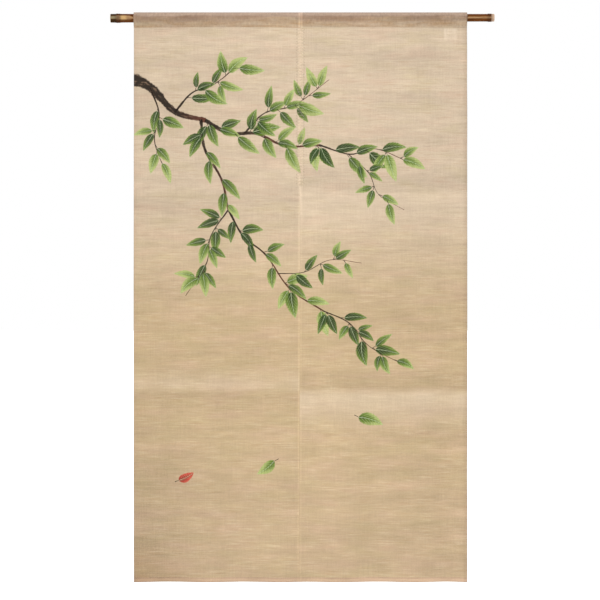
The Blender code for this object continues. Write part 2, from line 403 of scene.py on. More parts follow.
def leaf_mark(base, heading, length, width, bend, tone):
    """A leaf from its base along a heading, with coordinates that are shares of its length and width."""
    along, side = crossing(heading)
    t = np.linspace(0.0, 1.0, 12)
    half = LEAF_MARGIN * leaf_half_width(t) + LEAF_ROOM
    middle = leaf_midline(t, bend)
    ts = np.concatenate([t[:1] - LEAF_END_ROOM, t, t[-1:] + LEAF_END_ROOM, t[::-1]])
    us = np.concatenate([[0.0], middle - half, [0.0], (middle + half)[::-1]])
    outline = np.array(base) + length * (ts[:, None] * along + width * us[:, None] * side)

    def coords(points):
        offset = (points - np.array(base)) / length
        return offset @ along, offset @ side / width, np.full(len(points), tone)

    return Mark(outline, coords, LEAF + bend)


def twig_mark(points, half_widths, tone):
    """A twig along a line of points. Its coordinates are metres along it and shares of its half width."""
    points, half_widths = np.array(points), np.array(half_widths)
    heading = unit(np.gradient(points, axis=0))
    side = np.column_stack([-heading[:, 1], heading[:, 0]])
    margin = (TWIG_MARGIN * half_widths + TWIG_ROOM)[:, None]
    ends = points[[0, -1]] + heading[[0, -1]] * TWIG_END_ROOM * np.array([[-1.0], [1.0]])
    outline = np.concatenate([ends[:1], points - side * margin, ends[1:], (points + side * margin)[::-1]])
    spans = np.diff(points, axis=0)
    starts = lengths_along(points)
    lengths = np.linalg.norm(spans, axis=1)

    def coords(places):
        offset = places[:, None, :] - points[None, :-1, :]
        share = np.clip((offset * spans).sum(2) / lengths**2, 0.0, 1.0)
        apart = offset - share[:, :, None] * spans
        nearest = np.argmin((apart**2).sum(2), axis=1)
        row = np.arange(len(places))
        share, apart = share[row, nearest], apart[row, nearest]
        ahead = spans[nearest] / lengths[nearest, None]
        beside = ahead[:, 0] * apart[:, 1] - ahead[:, 1] * apart[:, 0]
        half = half_widths[nearest] * (1.0 - share) + half_widths[nearest + 1] * share
        return starts[nearest] + share * lengths[nearest], beside / half, np.full(len(places), tone)

    return Mark(outline, coords, TWIG)


def smooth_line(controls, step):
    """Points at most step apart on a smooth curve through the controls."""
    controls = [Vector(c) for c in controls]
    padded = [2 * controls[0] - controls[1], *controls, 2 * controls[-1] - controls[-2]]
    line = []
    for a, b, c, d in zip(padded, padded[1:], padded[2:], padded[3:]):
        count = max(2, math.ceil((c - b).length / step))
        for i in range(count):
            t = i / count
            point = 2 * b + (c - a) * t + (2 * a - 5 * b + 4 * c - d) * t**2
            line.append(0.5 * (point + (3 * b - a - 3 * c + d) * t**3))
    return np.array([(p.x, p.y) for p in [*line, controls[-1]]])


# A twig's controls are x and the drop below the crease. Then come its half widths at both ends, the shares of
# its length that leaves sit between, their number and size, and the seed of its random draws.
Twig = namedtuple("Twig", "controls start end first last leaves size seed")
TWIGS = (
    Twig(((-0.452, 0.172), (-0.395, 0.198), (-0.330, 0.262), (-0.250, 0.285)),
         0.0155, 0.0062, 0, 0, 0, 0, 1),
    Twig(((-0.395, 0.200), (-0.372, 0.268), (-0.384, 0.340), (-0.352, 0.428)),
         0.0026, 0.0007, 0.26, 0.90, 6, 0.066, 11),
    Twig(((-0.250, 0.285), (-0.190, 0.318), (-0.115, 0.320), (-0.040, 0.352), (0.050, 0.350)),
         0.0056, 0.0024, 0.02, 0.98, 9, 0.074, 2),
    Twig(((0.050, 0.350), (0.130, 0.374), (0.200, 0.360), (0.300, 0.402)),
         0.0024, 0.0007, 0.05, 0.86, 8, 0.072, 3),
    Twig(((-0.150, 0.322), (-0.095, 0.266), (-0.015, 0.244), (0.075, 0.178)),
         0.0026, 0.0007, 0.20, 0.90, 8, 0.068, 4),
    Twig(((-0.330, 0.262), (-0.285, 0.212), (-0.225, 0.188), (-0.150, 0.128)),
         0.0030, 0.0007, 0.22, 0.90, 7, 0.066, 5),
    Twig(((-0.262, 0.283), (-0.252, 0.360), (-0.208, 0.440), (-0.190, 0.520)),
         0.0042, 0.0028, 0.14, 0.95, 6, 0.068, 6),
    Twig(((-0.190, 0.520), (-0.150, 0.590), (-0.090, 0.640), (-0.028, 0.728), (0.060, 0.786)),
         0.0028, 0.0018, 0.10, 0.98, 9, 0.070, 7),
    Twig(((-0.190, 0.520), (-0.236, 0.590), (-0.248, 0.664), (-0.302, 0.746)),
         0.0018, 0.0007, 0.14, 0.84, 7, 0.062, 8),
    Twig(((0.060, 0.786), (0.128, 0.818), (0.182, 0.880), (0.290, 0.936)),
         0.0018, 0.0006, 0.06, 0.84, 8, 0.064, 9),
    Twig(((-0.060, 0.688), (0.010, 0.684), (0.078, 0.652), (0.160, 0.660)),
         0.0013, 0.0006, 0.22, 0.84, 5, 0.056, 10),
    Twig(((0.125, 0.373), (0.180, 0.424), (0.206, 0.480), (0.272, 0.520)),
         0.0012, 0.0006, 0.18, 0.80, 5, 0.058, 12),
)
TWIG_STEP = 0.010
TWIG_TAPER = 1.4
TWIN_CHANCE = 0.55
TWIN_SIZE = 0.88
LEAF_HANG = 0.30
STALK_BEND = 0.12
STALK_HALF_WIDTHS = (0.0010, 0.0007)
MIDDLE_TONE = 0.5

# A fallen leaf's place, its stalk's heading and length, the leaf's turn from it, and its shape. Tone 2 is red
FallenLeaf = namedtuple("FallenLeaf", "x drop heading stalk turn length width bend tone")
FALLEN = (
    FallenLeaf(0.142, 1.060, -0.5, 0.012, 0.20, 0.068, 0.50, 0.12, 0.75),
    FallenLeaf(-0.058, 1.175, 3.6, 0.012, 0.20, 0.058, 0.50, 0.12, 0.85),
    FallenLeaf(-0.330, 1.236, 0.35, 0.010, 0.15, 0.046, 0.52, -0.10, 2.0),
)


def stalk_mark(start, heading, length, tone):
    """A leaf's own stalk, and where it ends."""
    along, side = crossing(heading)
    t = np.linspace(0.0, 1.0, 5)
    line = np.array(start) + length * (t[:, None] * along + STALK_BEND * (t * (1.0 - t))[:, None] * side)
    return twig_mark(line, np.linspace(*STALK_HALF_WIDTHS, 5), tone), line[-1]


def leaf_with_stalk(draw, start, heading, size, tone, side):
    stalk_length = draw.uniform(0.006, 0.013)
    stalk, base = stalk_mark(start, heading, stalk_length, draw.random())
    length = size * draw.uniform(0.72, 1.05)
    width = draw.uniform(0.36, 0.48)
    tone = min(1.0, max(0.0, tone + draw.uniform(-0.32, 0.32)))
    heading = heading + draw.uniform(-0.2, 0.2)
    bend = side * draw.uniform(0.02, 0.20)
    return [stalk, leaf_mark(base, heading, length, width, bend, tone)]


def leaves_on(twig, line):
    """Leaves in ones and twos on stalks, set by turns on either side of a twig and hanging a little."""
    draw = random.Random(twig.seed)
    marks = []
    for i in range(twig.leaves):
        reach = (twig.last - twig.first) * (i + draw.uniform(-0.25, 0.25))
        share = twig.first + reach / max(1, twig.leaves - 1)
        at = min(len(line) - 2, max(0, int(share * (len(line) - 1))))
        along = line[at + 1] - line[at]
        side = 1.0 if i % 2 else -1.0
        heading = math.atan2(along[1], along[0]) + side * draw.uniform(0.30, 0.70)
        heading -= LEAF_HANG * math.cos(heading)
        tone = 0.10 + 0.80 * share
        if draw.random() < TWIN_CHANCE:
            apart = heading + side * draw.uniform(0.7, 1.0)
            marks += leaf_with_stalk(draw, line[at], apart, TWIN_SIZE * twig.size, tone, side)
        marks += leaf_with_stalk(draw, line[at], heading, twig.size, tone, side)
    return marks


def spray():
    """Every mark of the dyed design, the lowest first."""
    twigs, leaves = [], []
    for twig in TWIGS:
        line = smooth_line([(x, front_v(drop)) for x, drop in twig.controls], TWIG_STEP)
        draw = random.Random(100 + twig.seed)
        knobs = 1.0 + np.array([draw.uniform(-0.16, 0.20) for _ in line])
        taper = twig.end + (twig.start - twig.end) * np.linspace(1.0, 0.0, len(line)) ** TWIG_TAPER
        twigs.append(twig_mark(line, taper * knobs, 0.1 * twig.seed % 1.0))
        leaves += leaves_on(twig, line)
    for leaf in FALLEN:
        stalk, base = stalk_mark((leaf.x, front_v(leaf.drop)), leaf.heading, leaf.stalk, MIDDLE_TONE)
        heading = leaf.heading + leaf.turn
        leaves += [stalk, leaf_mark(base, heading, leaf.length, leaf.width, leaf.bend, leaf.tone)]
    return twigs + leaves


# Panels of cloth

MARK_CLEARANCE = 0.0012  # no regular point of the cloth's mesh is this near to a mark's outline


def near_box(points, outline, reach):
    """Which points lie within reach of the box round an outline, as indices."""
    low, high = outline.min(axis=0) - reach, outline.max(axis=0) + reach
    return np.flatnonzero(((points > low) & (points < high)).all(axis=1))


def inside(points, outline):
    """Which points lie inside a closed outline, as indices."""
    close = near_box(points, outline, 0.0)
    x, y = points[close].T
    result = np.zeros(len(close), dtype=bool)
    for (ax, ay), (bx, by) in zip(outline, np.roll(outline, -1, axis=0)):
        if ay != by:
            result ^= ((ay > y) != (by > y)) & (x < ax + (bx - ax) * (y - ay) / (by - ay))
    return close[result]


def near_outline(points, outline, reach):
    """Which points lie within reach of an outline, as indices."""
    close = near_box(points, outline, reach)
    result = np.zeros(len(close), dtype=bool)
    for a, b in zip(outline, np.roll(outline, -1, axis=0)):
        span = b - a
        share = np.clip(((points[close] - a) @ span) / max(span @ span, 1e-12), 0.0, 1.0)
        result |= np.linalg.norm(points[close] - a - share[:, None] * span, axis=1) < reach
    return close[result]


def grid(side):
    """The panel's regular points, and its closed boundary as indices into them."""
    left, right = edges(side, ROW_V)
    width = float(np.mean(right - left))
    columns = round(width / COLUMN_STEP)
    rim = EDGE_STEP / width
    shares = np.concatenate([[0.0, rim], np.linspace(0.0, 1.0, columns + 1)[1:-1], [1.0 - rim, 1.0]])
    x = left[:, None] + (right - left)[:, None] * shares
    points = np.column_stack([x.ravel(), np.repeat(ROW_V, len(shares))])
    index = np.arange(len(points)).reshape(len(ROW_V), len(shares))
    border = np.concatenate([index[0, :-1], index[:-1, -1], index[-1, :0:-1], index[:0:-1, 0]])
    return points, border


def panel_faces(side, marks):
    """The panel's flat points and triangles, cut along the outlines of the marks."""
    points, border = grid(side)
    keep = np.ones(len(points), dtype=bool)
    for mark in marks:
        keep[near_outline(points, mark.outline, MARK_CLEARANCE)] = False
    keep[border] = True
    number = np.cumsum(keep) - 1
    left, right = edges(side, ROW_V)
    flat = [Vector(p) for p in points[keep]]
    lines = [(int(number[a]), int(number[b])) for a, b in zip(border, np.roll(border, -1))]
    for mark in marks:
        if mark.outline[:, 0].max() > left.min() and mark.outline[:, 0].min() < right.max():
            first = len(flat)
            flat += [Vector(p) for p in mark.outline]
            count = len(mark.outline)
            lines += [(first + i, first + (i + 1) % count) for i in range(count)]
    places, _, faces, _, _, _ = delaunay_2d_cdt(flat, lines, [], 0, 1e-6)
    places, faces = np.array([tuple(p) for p in places]), np.array(faces)
    x, v = places[faces].mean(axis=1).T
    left, right = edges(side, v)
    faces = faces[(x > left) & (x < right) & (v > ROW_V[0]) & (v < ROW_V[-1])]
    used, faces = np.unique(faces, return_inverse=True)
    return places[used], faces.reshape(-1, 3)


def draw_marks(flat, faces, marks):
    """What the top mark and the one under it say at each face's corners."""
    top = np.zeros((len(faces), 3, 4), dtype=np.float32)
    below = np.zeros_like(top)
    centres = flat[faces].mean(axis=1)
    for mark in marks:
        hit = inside(centres, mark.outline)
        t, u, tone = mark.coords(flat[faces[hit]].reshape(-1, 2))
        below[hit] = top[hit]
        top[hit] = np.column_stack([t, u, tone, np.full(len(t), mark.kind)]).reshape(-1, 3, 4)
    return top, below


def add_object(name, data):
    made = bpy.data.objects.new(name, data)
    bpy.context.scene.collection.objects.link(made)
    return made


def mesh_object(name, places, faces, materials):
    mesh = bpy.data.meshes.new(name)
    mesh.from_pydata([tuple(p) for p in places], [], [tuple(int(i) for i in f) for f in faces])
    mesh.shade_smooth()
    for material in materials:
        mesh.materials.append(material)
    return add_object(name, mesh)


def give(piece, name, values, domain="POINT"):
    """Stores one, three or four numbers on each of a piece's points or corners, for its material."""
    values = np.asarray(values, dtype=np.float32)
    parts = values.shape[-1] if values.ndim > 1 else 1
    kind, field = {1: ("FLOAT", "value"), 3: ("FLOAT_VECTOR", "vector"), 4: ("FLOAT_COLOR", "color")}[parts]
    piece.data.attributes.new(name, kind, domain).data.foreach_set(field, values.ravel())


def thicken(piece, thickness):
    solidify = piece.modifiers.new("thickness", "SOLIDIFY")
    solidify.thickness = thickness
    solidify.offset = 0.0
    solidify.material_offset = 1
    solidify.material_offset_rim = 1


def cloth_panel(side, marks, materials):
    flat, faces = panel_faces(side, marks)
    x, v = flat.T
    on_left = side == "left"
    piece = mesh_object(f"cloth_{side}", place(x, v, 1.0 if on_left else -1.0), faces, materials)
    left, right = edges(side, v)
    from_outside, from_slit = (x - left, right - x) if on_left else (right - x, x - left)
    give(piece, "flat", np.column_stack([x, v, np.full(len(x), 0.0 if on_left else 1.0)]))
    give(piece, "edges", np.column_stack([from_outside, from_slit, np.zeros(len(x))]))
    for name, drawn in zip(("print_top", "print_below"), draw_marks(flat, faces, marks)):
        give(piece, name, drawn, "CORNER")
    thicken(piece, CLOTH_THICK)
    return piece


# Sewing thread, as tubes

THREAD_SIDES = 6
THREAD_TIP = 0.6
STITCH_PITCH = 0.0044
STITCH_LENGTH = 0.0030
SEWING_RADIUS = 0.00022
JOINING_RADIUS = 0.00052
SEAM_WANDER = 0.0026  # the pocket's seam is sewn by hand, so it runs in a slow wave
SEAM_WAVES = (-7.2, 10.8)  # radians a metre on the left panel, and what the right one adds
SEAM_SHIFTS = (-0.0014, 0.0006)  # how high it runs, in the same way
SEAM_INSET = 0.002
SEAM_ROW = 0.0003  # the rows of stitches lie this far below the seam, in front and behind
HEM_INSET = 0.003
HEM_ROW = 0.0022  # and this far below the hem's top
JOIN_UNEVEN = 0.0004
JOIN_END_UNEVEN = 0.0006
JOIN_BARS = ((-0.0006, 0.0008, 1.0), (0.0008, -0.0006, 2.2))  # each crossed bar's two drops, and its rise
JOIN_BUMP = 0.16  # the share of a bar's length over which it rises at its middle
BITE = 0.0030
BITE_SLANT = 0.0003
TACKS = ((POCKET_DROP + 0.0015, 0.0040), (SEAM_DROP + 0.003, 0.0045))  # each tack's drop and half width
TACK_STITCHES = 4
TACK_PITCH = 0.0010


def tube(line, radii, sides):
    """Points and faces of a closed round tube along a line, and each point's length along and angle round."""
    heading = unit(np.gradient(line, axis=0))
    up = np.where(np.abs(heading[:, 2:3]) > 0.9, (0.0, 1.0, 0.0), (0.0, 0.0, 1.0))
    side = unit(np.cross(heading, up))
    over = np.cross(side, heading)
    angles = np.arange(sides) * 2.0 * math.pi / sides
    ring = side[:, None] * np.cos(angles)[:, None] + over[:, None] * np.sin(angles)[:, None]
    points = (line[:, None] + ring * radii[:, None, None]).reshape(-1, 3)
    count = len(line) * sides
    faces = quads(len(line), sides, True)
    faces += [list(range(sides)), list(range(count - 1, count - sides - 1, -1))]
    along = np.repeat(lengths_along(line), sides)
    return points, faces, np.column_stack([along, np.tile(angles, len(line)), np.zeros(count)])


def threads(name, lines, radius, material):
    """One piece of many short threads, each thinner at its ends, where it goes into the cloth."""
    points, faces, spirals, count = [], [], [], 0
    for line in lines:
        taper = np.ones(len(line))
        taper[[0, -1]] = THREAD_TIP
        some_points, some_faces, spiral = tube(line, radius * taper, THREAD_SIDES)
        points.append(some_points)
        spirals.append(spiral)
        faces += [[count + i for i in face] for face in some_faces]
        count += len(some_points)
    piece = mesh_object(name, np.concatenate(points), faces, [material])
    give(piece, "spiral", np.concatenate(spirals))
    return piece


def dye_threads(piece, marks):
    """Stores how the design, dyed after the sewing, covers each thread: how far, how pale, if as a twig."""
    places = np.array([tuple(vertex.co) for vertex in piece.data.vertices])
    flat = np.column_stack([places[:, 0], front_v(CREASE_Z - places[:, 2])])
    dye = np.zeros((len(flat), 3))
    for mark in marks:
        hit = inside(flat, mark.outline)
        t, u, tone = mark.coords(flat[hit])
        t = np.clip(t, *LEAF_SHARES)
        if mark.kind == TWIG:
            share = np.abs(u)
        else:
            share = np.abs(u - leaf_midline(t, mark.kind - LEAF)) / leaf_half_width(t)
        drawn = share < 1.0
        dye[hit[drawn], 0] = 1.0
        dye[hit[drawn], 1] = leaf_depth(share, t, tone)[drawn]
        dye[hit[drawn], 2] = mark.kind == TWIG
    give(piece, "dyed", dye)


def arch(t, rise, sunk, power=0.5):
    """How high a stitch stands at shares t of its length, in radii: rounded, and sunk at both ends."""
    return rise * np.sin(math.pi * t) ** power - sunk


def running_stitches(left, right, v, seed, wander):
    """A row of stitches along the cloth at v, each dipping into it at both ends. wander(x) is added to v."""
    draw = random.Random(seed)
    t = np.linspace(0.0, 1.0, 6)
    rise = SEWING_RADIUS * arch(t, rise=1.9, sunk=1.1, power=0.6)
    lines = []
    for i in range(int((right - left) / STITCH_PITCH)):
        start = left + (i + 0.2 + draw.uniform(-0.06, 0.06)) * STITCH_PITCH
        length = STITCH_LENGTH * draw.uniform(0.86, 1.10)
        tilt = v + draw.uniform(-0.0002, 0.0002) + (t - 0.5) * draw.uniform(-0.0004, 0.0004)
        lines.append(on_cloth(start + length * t, tilt + wander(start), rise))
    return lines


def seam_line(x, panel, sine=np.sin):
    """How far above its place the pocket's seam runs at x. panel is 0 on the left and 1 on the right."""
    wave = sine(x * (panel * SEAM_WAVES[1] + SEAM_WAVES[0]) + panel * (0.5 * math.pi))
    return wave * SEAM_WANDER + SEAM_SHIFTS[0] + panel * SEAM_SHIFTS[1]


def sewn_rows(edge_v, inset, rows):
    """Rows of stitches on both panels, each given as its v, its seed, and how it follows the seam's wave."""
    lines = []
    for panel, side in enumerate(("left", "right")):
        left, right = (float(edge[0]) for edge in edges(side, np.array([edge_v])))
        for v, seed, follow in rows:
            ends = left + inset, right - inset
            lines += running_stitches(*ends, v, seed + panel, lambda x: follow * seam_line(x, panel))
    return lines


def seam_stitches():
    return sewn_rows(V_SEAM, SEAM_INSET, ((V_SEAM - SEAM_ROW, 20, 1.0), (V_FOOT + SEAM_ROW, 30, -1.0)))


def hem_stitches():
    back = float(ROW_V[ROWS["hem"]])
    return sewn_rows(0.0, HEM_INSET, ((V_HEM - HEM_ROW, 40, 0.0), (back + HEM_ROW, 50, 0.0)))


def joining_stitches():
    """The ladder that holds the panels together below the pocket: crossed bars, and bites between them."""
    draw = random.Random(60)
    lines = []
    for i in range(round((SEAM_DROP - JOIN_TOP) / JOIN_PITCH) + 1):
        drop = JOIN_TOP + i * JOIN_PITCH + draw.uniform(-JOIN_UNEVEN, JOIN_UNEVEN)
        left = -JOIN_HALF_WIDTH + draw.uniform(-JOIN_END_UNEVEN, JOIN_END_UNEVEN)
        right = JOIN_HALF_WIDTH + draw.uniform(-JOIN_END_UNEVEN, JOIN_END_UNEVEN)
        for start, end, rise in JOIN_BARS:
            t = np.linspace(0.0, 1.0, 11)
            v = front_v(drop + start + (end - start) * t)
            x = slit_x(height(v)) + left + (right - left) * t
            over = 1.0 + rise * np.exp(-(((t - 0.5) / JOIN_BUMP) ** 2))
            lines.append(on_cloth(x, v, JOINING_RADIUS * arch(t, rise=over, sunk=0.6, power=0.4)))
        for side, end in ((-1.0, left), (1.0, right)):
            t = np.linspace(0.0, 1.0, 5)
            v = front_v(drop + BITE * (t - 0.5))
            x = slit_x(height(v)) + end + BITE_SLANT * side * (2.0 * t - 1.0)
            lines.append(on_cloth(x, v, JOINING_RADIUS * arch(t, rise=1.5, sunk=1.0)))
    return lines


def bar_tacks():
    """Close stitches across the slit where the joining starts and ends."""
    t = np.linspace(0.0, 1.0, 7)
    lines = []
    for drop, half in TACKS:
        for i in range(TACK_STITCHES):
            v = np.full(len(t), front_v(drop + i * TACK_PITCH))
            x = slit_x(height(v)) + half * (2.0 * t - 1.0)
            lines.append(on_cloth(x, v, SEWING_RADIUS * arch(t, rise=2.4, sunk=1.0)))
    return lines


# The blank label behind

TAG_CLOTH = 0.0004
TAG_LAYER = 0.00045
TAG_NEAR = 0.5 * SOLID_THICK + 0.0002  # how far behind the sheet its front leaf hangs
TAG_COLUMNS = 18
TAG_CURL = 0.0010
TAG_TILT = 0.0004
TAG_STITCHES = 8
TAG_STITCH_Z = TURN_Z - 0.0022


def tag_stand(x, z):
    """y of the sheet that the label hangs behind, at an array x and one z."""
    return sheet_y(x, np.full(len(x), z)) + np.array([wrinkle(a, z) for a in x])


def tag_path():
    """(y behind the sheet, z) of the label's tape, from the front leaf's top down, round its fold and up."""
    top, low = TURN_Z - 0.0004, TURN_Z - TAG_DROP + 0.0006
    far = TAG_NEAR + TAG_LAYER
    path = straight((TAG_NEAR, top), (TAG_NEAR, low), 14)
    path += turn((0.5 * (TAG_NEAR + far), low), 0.5 * TAG_LAYER, 180.0, 360.0, 6)
    path += straight((far, low), (far, top), 14) + [(far, top)]
    return np.array(path)


def tag(materials):
    path = tag_path()
    share = np.linspace(0.0, 1.0, TAG_COLUMNS)
    x = TAG_LEFT_X + TAG_WIDTH * share
    along = lengths_along(path)
    places, flat = [], []
    for (y, z), v in zip(path, along):
        curl = TAG_CURL * (2.0 * share - 1.0) ** 4 * ((TURN_Z - z) / TAG_DROP) ** 2
        places.append(np.column_stack([x, y + tag_stand(x, z) + curl, z + TAG_TILT * (share - 0.5)]))
        flat.append(np.column_stack([x, np.full(TAG_COLUMNS, v), np.full(TAG_COLUMNS, 2.0)]))
    faces = quads(len(path), TAG_COLUMNS, False)
    piece = mesh_object("label", np.concatenate(places), faces, materials)
    give(piece, "flat", np.concatenate(flat))
    thicken(piece, TAG_CLOTH)
    return piece, float(along[-1])


def tag_stitches():
    """The stitches that hold the label's top to the turned-under cloth."""
    t = np.linspace(0.0, 1.0, 6)
    lift = TAG_NEAR + TAG_LAYER + 0.5 * TAG_CLOTH + SEWING_RADIUS * arch(t, rise=1.9, sunk=1.0, power=0.6)
    lines = []
    for i in range(TAG_STITCHES):
        x = TAG_LEFT_X + (i + 0.15 + 0.7 * t) * TAG_WIDTH / TAG_STITCHES
        lines.append(np.column_stack([x, lift + tag_stand(x, TAG_STITCH_Z), np.full(len(t), TAG_STITCH_Z)]))
    return lines


# The cane

CANE_SIDES = 48
CANE_BEVEL = 0.0005
CANE_PLAIN = 0.0006  # the plain rings start this far in from a sawn end
CANE_EASED = 0.0001  # how much the rind is rounded off at the sawn ends
CANE_SUNK = 0.00012  # between its nodes the rind is this far inside the solid
NODE_SWELL = 0.0002
NODE_REACH = 0.012
NODE_SMOOTH = 0.6
FINE_STEP = 0.0005
END_STEP = 0.0015
HIDDEN_STEP = 0.006
SMALLEST_STEP = 0.0003
GROOVE_DEPTH = 0.00035
GROOVE_ANGLE = 0.9
GROOVE_SPREAD = 0.25
GROOVE_SPACING = 0.49  # a groove runs along the first half of each such length
CANE_BUMPS = ((0.05, 1.7, 0.00018), (0.03, 9.0, 0.00008))  # length, how many round it, and height
CUT_UNEVEN = 0.3
CENTRE_DISH = 0.0006
# A sawn end, from the middle of the hollow out to the rind: depth into the cane, and share of its radius
CUT_PROFILE = (
    (ROD_RECESS, 0.30),
    (ROD_RECESS, 0.62),
    (ROD_RECESS - 0.0012, 0.70),
    (0.5 * ROD_RECESS, 0.715),
    (0.0004, 0.72),
    (0.0, 0.75),
    (0.0, 0.86),
    (0.0, 0.95),
)

Ring = namedtuple("Ring", "x radius uneven sawn")


def ridge(x):
    """How far a node stands out at x, as a share of its full rise, and how near x is to a node."""
    rise = sum(np.interp(x - at, [a for a, _ in NODE_RIDGES], [r for _, r in NODE_RIDGES]) for at in NODE_XS)
    near = max(math.exp(-(((x - at) / NODE_REACH) ** 2)) for at in NODE_XS)
    return float(rise), near


def cane_stations():
    """Where along the cane its rings stand: close together at the ends and nodes."""
    stations = set()
    for at in NODE_XS:
        stations |= {at + d for d in np.arange(-0.009, 0.0101, FINE_STEP)}
    stations |= set(np.arange(ROD_LEFT_X, CLOTH_LEFT + 0.01, END_STEP))
    stations |= set(np.arange(CLOTH_RIGHT - 0.01, ROD_RIGHT_X, END_STEP))
    stations |= set(np.arange(CLOTH_LEFT, CLOTH_RIGHT, HIDDEN_STEP))
    kept = []
    for x in sorted(s for s in stations if ROD_LEFT_X + CANE_PLAIN < s < ROD_RIGHT_X - CANE_PLAIN):
        if not kept or x - kept[-1] > SMALLEST_STEP:
            kept.append(float(x))
    return kept


def cane_rings():
    """The cane's rings from left to right, with its nodes, small bevels and the hollow in each sawn end."""
    rings = []
    for x in cane_stations():
        rise, near = ridge(x)
        radius = rod_radius(x) + NODE_RISE * rise - CANE_SUNK + NODE_SWELL * near
        rings.append(Ring(x, radius, 1.0 - NODE_SMOOTH * min(1.0, rise), False))
    ends = []
    for end, inward in ((ROD_LEFT_X, 1.0), (ROD_RIGHT_X, -1.0)):
        cut = []
        for depth, share in CUT_PROFILE:
            x = end + inward * depth
            cut.append(Ring(x, rod_radius(x) * share, CUT_UNEVEN, True))
        cut.append(Ring(end + inward * CANE_BEVEL, rod_radius(end) - CANE_EASED, 1.0, False))
        ends.append(cut)
    return ends[0] + rings + ends[1][::-1]


def ring_points(ring, angles):
    """The points of a ring: nearly round, with a shallow groove and fine unevenness."""
    points = []
    for a in angles:
        off = math.remainder(a - GROOVE_ANGLE, 2.0 * math.pi) / GROOVE_SPREAD
        groove = GROOVE_DEPTH * math.exp(-(off**2)) * (ring.x % GROOVE_SPACING < 0.5 * GROOVE_SPACING)
        bumps = 0.0
        for length, around, size in CANE_BUMPS:
            at = Vector((ring.x / length, around * math.cos(a), around * math.sin(a)))
            bumps += noise.noise(at) * size
        r = ring.radius + ring.uneven * (bumps - groove)
        points.append((ring.x, r * math.sin(a), rod_axis_z(ring.x) + r * math.cos(a)))
    return points


def cane(material, cut_material):
    rings = cane_rings()
    angles = np.arange(CANE_SIDES) * 2.0 * math.pi / CANE_SIDES
    places = [point for ring in rings for point in ring_points(ring, angles)]
    faces = [(a, b, c, d) for a, d, c, b in quads(len(rings), CANE_SIDES, True)]
    sawn = np.repeat([a.sawn or b.sawn for a, b in zip(rings, rings[1:])], CANE_SIDES)
    for first, ring, inward in ((0, rings[0], 1), (len(places) - CANE_SIDES, rings[-1], -1)):
        for j in range(CANE_SIDES):
            pair = (first + j, first + (j + 1) % CANE_SIDES)[::-inward]
            faces.append((len(places), *pair))
        places.append((ring.x + CENTRE_DISH * inward, 0.0, rod_axis_z(ring.x)))
    piece = mesh_object("bamboo_cane", places, faces, [material, cut_material])
    cut = np.concatenate([sawn, np.ones(2 * CANE_SIDES)]).astype(np.int32)
    piece.data.polygons.foreach_set("material_index", cut)
    turns = np.concatenate([np.tile(angles, len(rings)), [0.0, 0.0]])
    x = np.array([p[0] for p in places])
    give(piece, "round", np.column_stack([x, np.cos(turns), np.sin(turns)]))
    give(piece, "node", [ridge(a)[1] for a in x])
    return piece


# Materials, written as formulas


def linear(*shade):
    """A colour given as screen values from 0 to 255, as the shaders take it."""
    parts = [s / 255.0 for s in shade]
    return tuple(p / 12.92 if p <= 0.04045 else ((p + 0.055) / 1.055) ** 2.4 for p in parts) + (1.0,)


class Value:
    """A number at each point of a surface, for plain arithmetic."""

    def __init__(self, paint, socket):
        self.paint, self.socket = paint, socket

    def __rsub__(self, other):
        return self.paint.maths("SUBTRACT", other, self)


def operator(operation):
    return lambda value, *others: value.paint.maths(operation, value, *others)


for operation, methods in (
    ("ADD", ("__add__", "__radd__")),
    ("SUBTRACT", ("__sub__",)),
    ("MULTIPLY", ("__mul__", "__rmul__")),
    ("DIVIDE", ("__truediv__",)),
    ("POWER", ("__pow__",)),
    ("ABSOLUTE", ("__abs__",)),
):
    for method in methods:
        setattr(Value, method, operator(operation))


